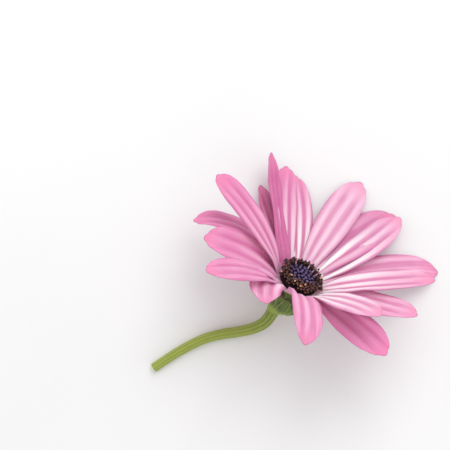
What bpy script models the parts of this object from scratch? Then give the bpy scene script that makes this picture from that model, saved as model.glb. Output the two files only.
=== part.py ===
"""A picked osteospermum flower lying on its side, with its head and a short length of stem."""

import math
import random

import bmesh
import bpy
from mathutils import Vector

MM = 0.001

# The head: a ring of ray florets round a dark disc, its axis leaning out of the floor
HEAD_CENTRE = Vector((0.03, -5.06, 13.4)) * MM
HEAD_LEAN = math.radians(29)
HEAD_TILT = math.radians(36)
FLOOR = 0.0

# Ray florets, each one a grooved strap with a narrow foot
RAY_RING = 5.4 * MM
RAY_THICKNESS = 0.62 * MM
RAY_ROOT = 0.8 * MM
RAY_WIDEST = 0.62
RAY_TIP_SHARE = 0.16
RAY_CHANNEL = 0.30
RAY_GROOVE = 0.16 * MM
RAY_ROWS = 9
RAY_CROWDING = 1.35
RAY_COLUMNS = 6
SEAT_RADIUS = 5.5 * MM
SEAT_TOP = 0.35 * MM
SEAT_BOTTOM = -1.0 * MM
SEAT_SIDES = 30

# One row for each ray floret: turn round the axis, rise of its foot above the ring's plane,
# further rise at its tip, length and width in mm, turn gained along it, twist at its tip,
# the width of its foot as a share of the widest, and how full and blunt its tip is
RAY_FLORETS = (
    (10, 40, -6, 31.3, 10.5, -5, -6, 0.36, 2.3),
    (37, 26, -22, 35.6, 10.0, -3, 16, 0.36, 2.3),
    (52, 31, 4, 29.9, 8.8, 15, -6, 0.36, 2.3),
    (68, 32, -3, 29.6, 10.9, -16, 1, 0.36, 2.3),
    (88, 38, -3, 29.8, 9.5, -8, 0, 0.36, 2.6),
    (110, 30, -3, 26.3, 7.4, 24, -12, 0.36, 2.3),
    (133, 31, 1, 27.8, 7.3, -18, 3, 0.36, 3.4),
    (142, 34, -1, 31.0, 6.5, -15, 26, 0.60, 2.4),
    (138, 22, -12, 25.1, 6.4, -9, 9, 0.50, 2.2),
    (184, 53, -46, 31.7, 6.8, -20, -19, 0.50, 4.5),
    (165, 35, -62, 28.4, 8.7, 39, 8, 0.70, 2.6),
    (198, 32, -36, 24.5, 9.9, 8, -18, 0.85, 2.1),
    (221, 25, -21, 28.6, 7.5, 15, -2, 0.50, 2.3),
    (218, 28, -51, 13.8, 8.8, 98, -1, 0.86, 2.0),
    (283, 53, -90, 24.0, 8.8, 11, -6, 0.72, 2.0),
    (317, 50, -26, 28.0, 7.6, 5, 20, 0.50, 2.3),
    (326, 29, -33, 27.9, 11.3, 5, 10, 0.45, 2.3),
    (349, 38, -18, 29.0, 8.8, -4, 9, 0.36, 2.3),
)

# Disc florets, studs set in a spiral on a low dome
DISC_RADIUS = 5.2 * MM
DISC_FOOT = 0.65 * MM
DISC_RIM = 0.45 * MM
DISC_CROWN = 1.5 * MM
DISC_SIDES = 24
DISC_RINGS = 4
FLORET_COUNT = 70
FLORET_SPREAD = 4.85 * MM
FLORET_SINK = 0.9 * MM
FLORET_SIDES = 6
BUD_RADIUS = 0.42 * MM
BUD_HEIGHT = 0.9 * MM
OPEN_RADIUS = 0.5 * MM
OPEN_HEIGHT = 2.2 * MM
OPEN_FROM = 0.72
RIM_LEAN = math.radians(48)
GOLDEN_ANGLE = math.pi * (3 - math.sqrt(5))

# The green cup under the ray florets and the bracts that clothe it
CUP_TOP = -1.3 * MM
CUP_SHIFT = -1.6 * MM
CUP_SIDES = 24
CUP_PROFILE = ((-1.3, 5.3), (-3.0, 5.2), (-5.0, 5.0), (-7.0, 4.5), (-8.5, 3.8),
               (-9.8, 3.0), (-10.8, 2.3), (-11.4, 1.8))
BRACT_COUNT = 16
BRACT_ROOT = -9.4 * MM
BRACT_TIP = -1.0 * MM
BRACT_WIDTH = 3.0 * MM
BRACT_PROUD = (0.4 * MM, 0.16 * MM)
BRACT_THICKNESS = 0.7 * MM
BRACT_FLARE_FROM = -3.3 * MM
BRACT_FLARE = 1.15 * MM
BRACT_ROWS = 6
BRACT_COLUMNS = 2

# The stem, from under the cup down to the floor and along it, by its centre line
# from the head's centre and its radius, all in mm
STEM_ROUTE = (
    (-6.0, -7.6, -6.9, 1.65),
    (-8.2, -10.7, -8.9, 1.58),
    (-11.3, -12.5, -10.4, 1.48),
    (-15.3, -13.5, -11.5, 1.40),
    (-19.8, -14.2, -11.9, 1.34),
    (-24.3, -15.4, -12.15, 1.30),
    (-28.8, -17.5, -12.3, 1.26),
    (-33.1, -20.0, -12.35, 1.22),
    (-37.9, -23.2, -12.4, 1.18),
)
STEM_SIDES = 14
STEM_STEPS = 3
NODE_GAP = 0.3 * MM


def clear_scene():
    for old in list(bpy.data.objects):
        bpy.data.objects.remove(old, do_unlink=True)


def make_material(name, colour, roughness):
    material = bpy.data.materials.new(name)
    material.use_nodes = True
    shader = material.node_tree.nodes["Principled BSDF"]
    shader.inputs["Base Color"].default_value = (*colour, 1.0)
    shader.inputs["Roughness"].default_value = roughness
    shader.inputs["Metallic"].default_value = 0.0
    return material


def ray_material():
    return make_material("ray pink", (0.62, 0.24, 0.42), 0.55)


def disc_material():
    return make_material("disc violet black", (0.035, 0.015, 0.045), 0.6)


def cup_material():
    return make_material("cup green", (0.12, 0.19, 0.05), 0.6)


def stem_material():
    return make_material("stem green", (0.29, 0.36, 0.08), 0.5)


def head_axes():
    """The head's own right, far side and axis as unit vectors."""
    axis = Vector((math.sin(HEAD_LEAN) * math.cos(HEAD_TILT),
                   math.cos(HEAD_LEAN) * math.cos(HEAD_TILT),
                   math.sin(HEAD_TILT)))
    right = Vector((math.cos(HEAD_LEAN), -math.sin(HEAD_LEAN), 0.0))
    return right, axis.cross(right), axis


RIGHT, FAR, AXIS = head_axes()


def radial(turn):
    return RIGHT * math.cos(turn) + FAR * math.sin(turn)


def on_head(radius, turn, height):
    return HEAD_CENTRE + radial(turn) * radius + AXIS * height


def smooth_share(share):
    share = min(max(share, 0.0), 1.0)
    return share * share * (3 - 2 * share)


def add_object(name, mesh, material=None):
    thing = bpy.data.objects.new(name, mesh)
    bpy.context.scene.collection.objects.link(thing)
    if material:
        mesh.materials.append(material)
    return thing


def finish_mesh(name, work):
    """Turn the faces outward and give the mesh back smooth shaded."""
    bmesh.ops.recalc_face_normals(work, faces=work.faces)
    mesh = bpy.data.meshes.new(name)
    work.to_mesh(mesh)
    work.free()
    mesh.shade_smooth()
    mesh.set_sharp_from_angle(angle=math.radians(50))
    return mesh


def tube_mesh(name, sections):
    """Skin a list of rings that have the same number of points, with flat ends."""
    work = bmesh.new()
    rings = [[work.verts.new(point) for point in section] for section in sections]
    count = len(rings[0])
    for lower, upper in zip(rings, rings[1:]):
        for i in range(count):
            j = (i + 1) % count
            work.faces.new((lower[i], lower[j], upper[j], upper[i]))
    work.faces.new(rings[0])
    work.faces.new(rings[-1])
    return finish_mesh(name, work)


def blade_mesh(name, rows):
    """Skin rows of (upper points, lower points), both faces split by the same diagonals."""
    work = bmesh.new()
    grid = [[[work.verts.new(point) for point in side] for side in row] for row in rows]
    last = len(grid[0][0]) - 1
    for here, ahead in zip(grid, grid[1:]):
        for side in (0, 1):
            for j in range(last):
                work.faces.new((here[side][j], here[side][j + 1], ahead[side][j + 1]))
                work.faces.new((here[side][j], ahead[side][j + 1], ahead[side][j]))
        for j in (0, last):
            work.faces.new((here[0][j], ahead[0][j], ahead[1][j]))
            work.faces.new((here[0][j], ahead[1][j], here[1][j]))
    for row in (grid[0], grid[-1]):
        for j in range(last):
            work.faces.new((row[0][j], row[0][j + 1], row[1][j + 1]))
            work.faces.new((row[0][j], row[1][j + 1], row[1][j]))
    return finish_mesh(name, work)


def apply_boolean(thing, operation, operand=None, group=None):
    step = thing.modifiers.new("step", "BOOLEAN")
    step.operation = operation
    step.solver = "EXACT"
    if group:
        step.operand_type = "COLLECTION"
        step.collection = group
    else:
        step.object = operand
    with bpy.context.temp_override(object=thing, active_object=thing):
        bpy.ops.object.modifier_apply(modifier=step.name)


def shell_of(face):
    """Every face that joins this one edge to edge."""
    shell = {face}
    waiting = [face]
    while waiting:
        for edge in waiting.pop().edges:
            for beside in edge.link_faces:
                if beside not in shell:
                    shell.add(beside)
                    waiting.append(beside)
    return shell


def keep_largest_shell(thing):
    """Drop loose scraps, and fill sealed hollows by dropping their walls."""
    work = bmesh.new()
    work.from_mesh(thing.data)
    shells = []
    waiting = set(work.faces)
    while waiting:
        shell = shell_of(next(iter(waiting)))
        waiting -= shell
        shells.append(shell)
    largest = max(shells, key=len)
    spare = [face for shell in shells if shell is not largest for face in shell]
    bmesh.ops.delete(work, geom=spare, context="FACES")
    work.to_mesh(thing.data)
    work.free()


def fuse(thing, repeats):
    """Join the repeats to the thing in one union, then drop them."""
    group = bpy.data.collections.new("repeats")
    bpy.context.scene.collection.children.link(group)
    for repeat in repeats:
        group.objects.link(repeat)
        bpy.context.scene.collection.objects.unlink(repeat)
    apply_boolean(thing, "UNION", group=group)
    for repeat in repeats:
        bpy.data.objects.remove(repeat, do_unlink=True)
    bpy.data.collections.remove(group)
    keep_largest_shell(thing)


def flatten_on_floor(thing):
    """Pare away what would reach below the floor, which leaves a small flat spot."""
    reach = 0.2
    work = bmesh.new()
    bmesh.ops.create_cube(work, size=reach)
    bmesh.ops.translate(work, verts=work.verts, vec=(0, 0, FLOOR - reach / 2))
    below = add_object("below the floor", finish_mesh("below the floor", work))
    apply_boolean(thing, "DIFFERENCE", operand=below)
    bpy.data.objects.remove(below, do_unlink=True)


def ray_half_width(share, width, foot, fullness):
    grow = math.sin(min(share / RAY_WIDEST, 1) * math.pi / 2) ** 1.15
    past = max((share - RAY_WIDEST) / (1 - RAY_WIDEST), 0)
    close = max(1 - past ** fullness, 0) ** 0.62
    return width / 2 * max((foot + (1 - foot) * grow) * close, RAY_TIP_SHARE)


def ray_line(floret):
    """Points, sides, normals, half widths and shares down the middle of a ray floret."""
    turn, rise, droop, length, width, sway, twist, foot, fullness = floret
    point = on_head(RAY_RING, math.radians(turn), 0)
    line = []
    for i in range(RAY_ROWS + 1):
        share = 1 - (1 - i / RAY_ROWS) ** RAY_CROWDING
        climb = math.radians(rise + droop * share)
        angle = math.radians(turn + sway * share)
        ahead = radial(angle) * math.cos(climb) + AXIS * math.sin(climb)
        if line:
            point = point + (before + ahead) * (length * MM * (share - reached) / 2)
        before = ahead
        reached = share
        side = AXIS.cross(radial(angle))
        side = (side - ahead * side.dot(ahead)).normalized()
        normal = ahead.cross(side)
        roll = math.radians(twist) * smooth_share(share / 0.5)
        line.append((point, side * math.cos(roll) + normal * math.sin(roll),
                     normal * math.cos(roll) - side * math.sin(roll),
                     ray_half_width(share, width * MM, foot, fullness), share))
    return line


def ray_lift(across, share, half):
    """Height of the upper face above the middle: a trough at the foot and two grooves."""
    trough = RAY_CHANNEL * (1 - 0.8 * smooth_share(share / 0.6)) * half * across * across
    groove = RAY_GROOVE * math.cos(3 * math.pi * across)
    return (trough + groove) * smooth_share(share / 0.2) * smooth_share((1 - share) / 0.25)


def ray_blade(index, floret):
    line = ray_line(floret)
    point, side, normal, half, share = line[0]
    inward = radial(math.radians(floret[0])) * -RAY_ROOT
    line.insert(0, (point + inward, side, AXIS, half, share))
    rows = []
    for point, side, normal, half, share in line:
        upper = []
        for j in range(RAY_COLUMNS + 1):
            across = 2 * j / RAY_COLUMNS - 1
            lift = ray_lift(across, share, half)
            upper.append(point + side * half * across + normal * (lift + RAY_THICKNESS / 2))
        rows.append((upper, [place - normal * RAY_THICKNESS for place in upper]))
    name = f"ray_{index + 1:02d}"
    return add_object(name, blade_mesh(name, rows))


def head_ring(radius, height, sides):
    return [on_head(radius, 2 * math.pi * i / sides, height) for i in range(sides)]


def ray_florets():
    seat = add_object("ray_florets",
                      tube_mesh("ray_florets", [head_ring(SEAT_RADIUS, SEAT_BOTTOM, SEAT_SIDES),
                                                head_ring(SEAT_RADIUS, SEAT_TOP, SEAT_SIDES)]),
                      ray_material())
    fuse(seat, [ray_blade(i, floret) for i, floret in enumerate(RAY_FLORETS)])
    flatten_on_floor(seat)
    return seat


def dome_height(radius):
    return DISC_FOOT + DISC_RIM + DISC_CROWN * math.sqrt(1 - (radius / DISC_RADIUS) ** 2)


def floret_stud(index, draw):
    """One floret: a bud near the middle, a taller open tube near the rim."""
    share = math.sqrt((index + 0.5) / FLORET_COUNT)
    turn = index * GOLDEN_ANGLE
    opened = share > OPEN_FROM
    radius = (OPEN_RADIUS if opened else BUD_RADIUS) * draw.uniform(0.92, 1.08)
    height = (OPEN_HEIGHT if opened else BUD_HEIGHT) * draw.uniform(0.85, 1.1)
    lean = RIM_LEAN * share ** 2 * draw.uniform(0.85, 1.05)
    foot = on_head(FLORET_SPREAD * share, turn, dome_height(FLORET_SPREAD * share))
    up = AXIS * math.cos(lean) + radial(turn) * math.sin(lean)
    across = AXIS.cross(radial(turn)).normalized()
    out = across.cross(up)
    spin = draw.uniform(0, 2 * math.pi)
    sections = []
    for rise, girth in ((-FLORET_SINK, 0.8), (height * 0.72, 1.12), (height, 0.55)):
        middle = foot + up * rise
        ring = []
        for i in range(FLORET_SIDES):
            angle = spin + 2 * math.pi * i / FLORET_SIDES
            ring.append(middle + (across * math.cos(angle) + out * math.sin(angle)) * radius * girth)
        sections.append(ring)
    name = f"floret_{index + 1:02d}"
    return add_object(name, tube_mesh(name, sections))


def disc_florets():
    sections = [head_ring(DISC_RADIUS, DISC_FOOT, DISC_SIDES)]
    for i in range(DISC_RINGS):
        radius = DISC_RADIUS * math.cos(math.radians(80) * i / (DISC_RINGS - 1))
        sections.append(head_ring(radius, dome_height(radius), DISC_SIDES))
    dome = add_object("disc_florets", tube_mesh("disc_florets", sections), disc_material())
    draw = random.Random(7)
    fuse(dome, [floret_stud(i, draw) for i in range(FLORET_COUNT)])
    return dome


def cup_radius(height):
    """The cup's radius at a height along its axis, read between the profile's points."""
    for (top, wide), (bottom, narrow) in zip(CUP_PROFILE, CUP_PROFILE[1:]):
        if height >= bottom * MM:
            share = (top * MM - height) / ((top - bottom) * MM)
            return (wide + (narrow - wide) * max(share, 0)) * MM
    return CUP_PROFILE[-1][1] * MM


def on_cup(radius, turn, height):
    """A point round the cup's axis, which bends to one side towards the stem."""
    share = (height - CUP_TOP) / (CUP_PROFILE[-1][0] * MM - CUP_TOP)
    return on_head(radius, turn, height) + RIGHT * CUP_SHIFT * max(share, 0) ** 3


def bract_blade(index, draw):
    """A bract that hugs the cup, its pointed tip standing free above the cup's rim."""
    turn = 2 * math.pi * (index + draw.uniform(-0.12, 0.12)) / BRACT_COUNT
    proud = BRACT_PROUD[index % 2] * draw.uniform(0.9, 1.1)
    root = BRACT_ROOT * draw.uniform(0.96, 1.0)
    tip = BRACT_TIP * draw.uniform(1.0, 1.5)
    rows = []
    for i in range(BRACT_ROWS + 1):
        share = i / BRACT_ROWS
        height = root + (tip - root) * share
        flare = max((height - BRACT_FLARE_FROM) / (BRACT_TIP - BRACT_FLARE_FROM), 0)
        outer = cup_radius(height) + proud + BRACT_FLARE * flare
        half = BRACT_WIDTH / 2 * max(math.sin(math.pi * (0.12 + 0.82 * share)), 0.2)
        sides = []
        for radius in (outer, outer - BRACT_THICKNESS):
            row = []
            for j in range(BRACT_COLUMNS + 1):
                across = 2 * j / BRACT_COLUMNS - 1
                row.append(on_cup(radius, turn + across * half / outer, height))
            sides.append(row)
        rows.append(sides)
    name = f"bract_{index + 1:02d}"
    return add_object(name, blade_mesh(name, rows))


def involucre():
    sections = []
    for height, radius in CUP_PROFILE:
        sections.append([on_cup(radius * MM, 2 * math.pi * i / CUP_SIDES, height * MM)
                         for i in range(CUP_SIDES)])
    cup = add_object("involucre", tube_mesh("involucre", sections), cup_material())
    draw = random.Random(3)
    fuse(cup, [bract_blade(i, draw) for i in range(BRACT_COUNT)])
    flatten_on_floor(cup)
    return cup


def smooth_route(points, steps):
    """Read a smooth curve through the points, a few steps to each stretch."""
    ends = [points[0] * 2 - points[1]] + points + [points[-1] * 2 - points[-2]]
    route = []
    for a, b, c, d in zip(ends, ends[1:], ends[2:], ends[3:]):
        for i in range(steps):
            t = i / steps
            route.append((b * 2 + (c - a) * t + (a * 2 - b * 5 + c * 4 - d) * t ** 2
                          + (b * 3 - a - c * 3 + d) * t ** 3) / 2)
    return route + [points[-1]]


def stem():
    """A round stem whose first ring faces the cup's flat foot across the gap."""
    points = [Vector(point) * MM for point in STEM_ROUTE]
    route = smooth_route(points, STEM_STEPS)
    centres = [HEAD_CENTRE + point.to_3d() for point in route]
    foot_height = CUP_PROFILE[-1][0] * MM
    centres[0] = on_cup(0, 0, foot_height) - AXIS * NODE_GAP
    sections = []
    for i, (centre, point) in enumerate(zip(centres, route)):
        ahead = centres[min(i + 1, len(centres) - 1)] - centres[max(i - 1, 0)]
        if i == 0:
            ahead = -AXIS
        side = ahead.cross(Vector((0, 0, 1))).normalized()
        up = side.cross(ahead).normalized()
        sections.append([centre + (side * math.cos(angle) + up * math.sin(angle)) * point[3]
                         for angle in (2 * math.pi * j / STEM_SIDES for j in range(STEM_SIDES))])
    stalk = add_object("stem", tube_mesh("stem", sections), stem_material())
    flatten_on_floor(stalk)
    return stalk


def main():
    clear_scene()
    stem()
    involucre()
    ray_florets()
    disc_florets()


main()
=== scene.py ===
"""The finished look of one picked osteospermum flower, lying on a pale floor.

It is laid out as an add-on and is run as a script: each kind of piece has its settings and its
own operator, and main() calls the operators in order.
"""

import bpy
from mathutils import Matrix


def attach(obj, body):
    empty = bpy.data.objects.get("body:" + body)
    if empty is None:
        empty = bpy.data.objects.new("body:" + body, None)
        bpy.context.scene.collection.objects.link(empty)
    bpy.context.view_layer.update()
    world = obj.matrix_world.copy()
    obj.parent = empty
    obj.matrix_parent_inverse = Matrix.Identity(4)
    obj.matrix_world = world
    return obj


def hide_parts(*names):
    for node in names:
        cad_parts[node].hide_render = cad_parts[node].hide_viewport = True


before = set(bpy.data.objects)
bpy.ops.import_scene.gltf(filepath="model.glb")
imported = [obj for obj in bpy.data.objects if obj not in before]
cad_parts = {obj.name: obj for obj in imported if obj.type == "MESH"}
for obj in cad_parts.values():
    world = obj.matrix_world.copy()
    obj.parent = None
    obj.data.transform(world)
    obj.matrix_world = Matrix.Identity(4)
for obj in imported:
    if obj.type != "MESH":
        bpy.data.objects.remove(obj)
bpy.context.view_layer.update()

import math
import random
from collections import namedtuple

import bmesh
import bpy
import numpy as np
from bpy.props import (FloatProperty, FloatVectorProperty, IntProperty, PointerProperty)
from bpy.types import Operator, Panel, PropertyGroup
from mathutils import Vector

bl_info = {
    "name": "Osteospermum flower",
    "version": (1, 0, 0),
    "blender": (4, 5, 0),
    "location": "3D Viewport > Sidebar > Flower",
    "description": "Builds the florets, cup and stem of one picked osteospermum",
    "category": "Object",
}

MM = 0.001
BODY = "root"
GOLDEN_ANGLE = math.pi * (3 - math.sqrt(5))

# One row for each ray floret. The first nine are its form: turn round the head's axis, rise
# of its foot above the ring's plane, further rise at its tip, length and width in mm, turn
# gained along it, twist, its foot's width as a share of the widest, and how full and blunt
# its tip is. Then its look: how deep its pink is, partly the floret's own pink and partly
# painted shade on florets that lie in shade or are seen edge-on, how white its ridges are,
# partly their own paleness near the foot and partly painted highlight, how much its sides
# turn up, and how far its tip curls down in mm
RayFloret = namedtuple("RayFloret", "turn rise droop length width sway twist foot full "
                                    "depth white cup curl")
RAY_FLORETS = (
    RayFloret(10, 40, -6, 31.3, 10.5, -5, -6, 0.36, 2.3, 0.35, 0.80, 0.10, 0.3),
    RayFloret(37, 26, -22, 35.6, 10.0, -3, 16, 0.36, 2.3, 0.40, 0.20, -0.06, 0.9),
    RayFloret(52, 31, 4, 29.9, 8.8, 15, -6, 0.36, 2.3, 0.30, 1.00, 0.04, 0.3),
    RayFloret(68, 32, -3, 29.6, 10.9, -16, 1, 0.36, 2.3, 0.50, 0.25, 0.10, 0.0),
    RayFloret(88, 38, -3, 29.8, 9.5, -8, 0, 0.36, 2.6, 0.12, 0.25, 0.02, 0.2),
    RayFloret(110, 30, -3, 26.3, 7.4, 24, -12, 0.36, 2.3, 0.45, 0.85, 0.04, 0.3),
    RayFloret(133, 31, 1, 27.8, 7.3, -18, 3, 0.36, 3.4, 0.55, 0.60, 0.06, 0.2),
    # This floret's deep value is mostly painted shade, as it is seen nearly edge-on in shade
    RayFloret(142, 34, -1, 31.0, 6.5, -15, 26, 0.60, 2.4, 0.95, 0.00, 0.10, 0.0),
    RayFloret(138, 22, -12, 25.1, 6.4, -9, 9, 0.50, 2.2, 0.65, 0.20, 0.04, 0.2),
    RayFloret(184, 53, -46, 31.7, 6.8, -20, -19, 0.50, 4.5, 0.60, 0.25, 0.10, 0.0),
    RayFloret(165, 35, -62, 28.4, 8.7, 39, 8, 0.70, 2.6, 0.65, 0.10, 0.06, 0.3),
    RayFloret(198, 32, -36, 24.5, 9.9, 8, -18, 0.85, 2.1, 0.55, 0.15, 0.04, 0.4),
    RayFloret(221, 25, -21, 28.6, 7.5, 15, -2, 0.50, 2.3, 0.50, 0.05, 0.02, 0.0),
    RayFloret(218, 28, -51, 13.8, 8.8, 98, -1, 0.86, 2.0, 0.35, 0.40, 0.00, 0.0),
    RayFloret(283, 53, -90, 24.0, 8.8, 11, -6, 0.72, 2.0, 0.45, 0.10, 0.10, 0.0),
    RayFloret(317, 50, -26, 28.0, 7.6, 5, 20, 0.50, 2.3, 0.25, 0.90, 0.02, 0.0),
    RayFloret(326, 29, -33, 27.9, 11.3, 5, 10, 0.45, 2.3, 0.60, 0.05, 0.00, 0.0),
    RayFloret(349, 38, -18, 29.0, 8.8, -4, 9, 0.36, 2.3, 0.30, 0.40, 0.02, 0.0),
)

# The cup's outline, by height along the head's axis and radius, in mm
CUP_PROFILE = ((-0.5, 4.7), (-1.3, 5.3), (-3.0, 5.2), (-5.0, 5.0), (-7.0, 4.5), (-8.5, 3.8),
               (-9.8, 3.0), (-10.8, 2.3), (-11.4, 1.8), (-11.7, 1.7))

# The stem's centre line from the head's centre, and its radius, in mm
STEM_ROUTE = (
    (-6.0, -7.6, -6.9, 1.65),
    (-8.2, -10.7, -8.9, 1.58),
    (-11.3, -12.5, -10.4, 1.48),
    (-15.3, -13.5, -11.5, 1.40),
    (-19.8, -14.2, -11.9, 1.34),
    (-24.3, -15.4, -12.15, 1.30),
    (-28.8, -17.5, -12.3, 1.26),
    (-33.1, -20.0, -12.35, 1.22),
    (-37.9, -23.2, -12.4, 1.18),
)


def linear(*levels):
    """Screen levels from 0 to 255 as the linear numbers that shaders use."""
    shares = [level / 255 for level in levels]
    return tuple(s / 12.92 if s <= 0.04045 else ((s + 0.055) / 1.055) ** 2.4 for s in shares)


def size_prop(name, description, millimetres):
    return FloatProperty(name=name, description=description, default=millimetres * MM,
                         unit="LENGTH", precision=5)


def angle_prop(name, description, degrees):
    return FloatProperty(name=name, description=description, default=math.radians(degrees),
                         subtype="ANGLE")


def share_prop(name, description, value):
    return FloatProperty(name=name, description=description, default=value)


def count_prop(name, description, value):
    return IntProperty(name=name, description=description, default=value, min=1)


def colour_prop(name, description, red, green, blue):
    return FloatVectorProperty(name=name, description=description, size=3, min=0, max=1,
                               subtype="COLOR", default=linear(red, green, blue))


class HeadSettings(PropertyGroup):
    centre: FloatVectorProperty(name="Centre", description="Middle of the ring of ray florets",
                                size=3, unit="LENGTH", default=(0.00003, -0.00506, 0.0134))
    lean: angle_prop("Lean", "Turn of the head's axis from the floor's far side", 29)
    tilt: angle_prop("Tilt", "Rise of the head's axis out of the floor", 36)


class RaySettings(PropertyGroup):
    ring: size_prop("Ring", "Radius on which the ray florets stand", 5.4)
    root: size_prop("Root", "How far a floret reaches in under the disc", 0.8)
    thickness: size_prop("Thickness", "Thickness along a floret's middle", 0.30)
    margin: size_prop("Margin", "Thickness at a floret's edge", 0.13)
    widest: share_prop("Widest", "Where along its length a floret is widest", 0.62)
    channel: share_prop("Channel", "Depth of the trough at the foot by half width", 0.30)
    groove: size_prop("Groove", "Depth of the two long grooves", 0.16)
    ridge: size_prop("Ridge", "Height of the fine ridges between them", 0.035)
    wave: size_prop("Wave", "How far the edges wave up and down", 0.22)
    notch: size_prop("Notch", "Depth of the notches between the tip's teeth", 0.30)
    columns: count_prop("Columns", "Faces across a floret", 44)
    rows: count_prop("Rows", "Faces along a floret", 64)
    pale: colour_prop("Pale", "The palest pink", 238, 192, 216)
    middle: colour_prop("Middle", "The usual pink", 222, 138, 182)
    # Deep is partly the florets' own magenta and partly painted shade on florets that lie in shade
    deep: colour_prop("Deep", "The magenta of deep florets", 190, 76, 138)
    # The white of the ridges near the foot is partly their own paleness and partly painted highlight
    white: colour_prop("White", "The ridges near the foot", 252, 242, 242)
    # The vein colour marks the florets' own fine veins and paints shade into the long grooves
    vein: colour_prop("Vein", "The grooves and fine veins", 200, 104, 156)
    tip: colour_prop("Tip", "The flush at the tip", 228, 126, 168)
    rim: colour_prop("Rim", "The thin dull line round the edge", 150, 112, 138)
    back: colour_prop("Back", "The outer face", 216, 146, 184)


class DiscSettings(PropertyGroup):
    radius: size_prop("Radius", "Radius of the dome that carries the florets", 5.2)
    foot: size_prop("Foot", "Height of the dome's foot above the ring's plane", 0.65)
    rim: size_prop("Rim", "Height of the dome's side", 0.45)
    crown: size_prop("Crown", "Further height of the dome's middle", 1.5)
    florets: count_prop("Florets", "Number of disc florets", 70)
    spread: size_prop("Spread", "Radius over which the florets are spread", 4.85)
    sink: size_prop("Sink", "How deep the florets stand in the dome", 0.9)
    bud_radius: size_prop("Bud radius", "Radius of a closed floret", 0.42)
    bud_height: size_prop("Bud height", "Height of a closed floret", 0.9)
    open_radius: size_prop("Open radius", "Radius of an open floret", 0.5)
    open_height: size_prop("Open height", "Height of an open floret", 2.2)
    open_from: share_prop("Open from", "Share of the radius past which florets are open", 0.72)
    lean: angle_prop("Rim lean", "Outward lean of the florets at the rim", 48)
    dome: colour_prop("Dome", "Between the florets", 22, 12, 20)
    bud: colour_prop("Bud", "Closed florets", 58, 38, 78)
    # The colour for the tops of the closed florets is a painted sheen highlight
    bud_sheen: colour_prop("Bud tip", "Top of the closed florets", 104, 84, 132)
    tube: colour_prop("Tube", "Sides of the open florets", 44, 26, 22)
    lobe: colour_prop("Lobe", "Lobes of the open florets", 112, 66, 50)
    pollen: colour_prop("Pollen", "Pollen on the open florets", 250, 205, 150)


class CupSettings(PropertyGroup):
    shift: size_prop("Shift", "How far the cup's foot bends towards the stem", -1.6)
    sides: count_prop("Sides", "Faces round the cup", 96)
    rows: count_prop("Rows", "Faces along the cup", 48)
    bracts: count_prop("Bracts", "Number of bracts round the cup", 16)
    bract_root: size_prop("Bract root", "Height of the bracts' feet", -9.4)
    bract_tip: size_prop("Bract tip", "Height of the bracts' tips", -1.0)
    bract_width: size_prop("Bract width", "Greatest width of a bract", 3.0)
    outer: size_prop("Outer series", "How far the outer bracts stand off the cup", 0.4)
    inner: size_prop("Inner series", "How far the inner bracts stand off the cup", 0.16)
    thickness: size_prop("Thickness", "Thickness of a bract's middle", 0.42)
    keel: size_prop("Keel", "Height of the rib down a bract's back", 0.16)
    flare_from: size_prop("Flare from", "Height from which the bracts bend outward", -3.3)
    flare: size_prop("Flare", "How far their tips bend outward", 1.15)
    green: colour_prop("Green", "The bracts' middle", 92, 112, 50)
    light: colour_prop("Light green", "The cup's foot and the bracts' edges", 158, 172, 84)
    dark: colour_prop("Dark green", "The bracts' darker patches", 54, 68, 40)
    flush: colour_prop("Flush", "The purple brown of the bracts' tips", 104, 62, 62)


class StemSettings(PropertyGroup):
    sides: count_prop("Sides", "Faces round the stem", 48)
    steps: count_prop("Steps", "Faces along each stretch of the stem", 14)
    rib: size_prop("Rib", "Height of the stem's ribs", 0.045)
    ribs: count_prop("Ribs", "Number of ribs round the stem", 9)
    hairs: count_prop("Hairs", "Number of fine hairs on the stem", 900)
    hair_length: size_prop("Hair length", "Length of the longest hairs", 0.55)
    hair_radius: size_prop("Hair radius", "Radius of a hair at its foot", 0.016)
    green: colour_prop("Green", "The stem's middle", 148, 162, 62)
    dark: colour_prop("Dark", "Near the cup", 112, 132, 50)
    light: colour_prop("Light", "The ribs", 182, 190, 104)
    hair: colour_prop("Hair", "The fine hairs", 232, 232, 210)


class StageSettings(PropertyGroup):
    floor: size_prop("Floor", "Radius of the floor", 1500)
    floor_colour: colour_prop("Floor colour", "The floor", 244, 244, 244)
    dome: share_prop("Dome light", "Strength of the light from all round", 0.80)
    key: share_prop("Key light", "Power of the large soft lamp in watts", 2.2)
    camera: FloatVectorProperty(name="Camera", description="Where the camera stands, looking down",
                                size=3, unit="LENGTH", default=(-0.01885, 0.00986, 0.5009))
    lens: share_prop("Lens", "Focal length in millimetres", 150)


class Head:
    """The head's own directions, and places by radius, turn and height."""

    def __init__(self, settings):
        lean, tilt = settings.lean, settings.tilt
        self.centre = np.array(settings.centre)
        self.axis = np.array((math.sin(lean) * math.cos(tilt), math.cos(lean) * math.cos(tilt),
                              math.sin(tilt)))
        self.right = np.array((math.cos(lean), -math.sin(lean), 0.0))
        self.far = np.cross(self.axis, self.right)

    def radial(self, turn):
        return np.multiply.outer(np.cos(turn), self.right) + np.multiply.outer(np.sin(turn), self.far)

    def place(self, radius, turn, height):
        radius, turn, height = np.broadcast_arrays(radius, turn, height)
        return self.centre + self.radial(turn) * radius[..., None] + self.axis * height[..., None]


def smooth(value):
    value = np.clip(value, 0, 1)
    return value * value * (3 - 2 * value)


def unit(vectors):
    return vectors / np.linalg.norm(vectors, axis=-1, keepdims=True)


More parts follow.
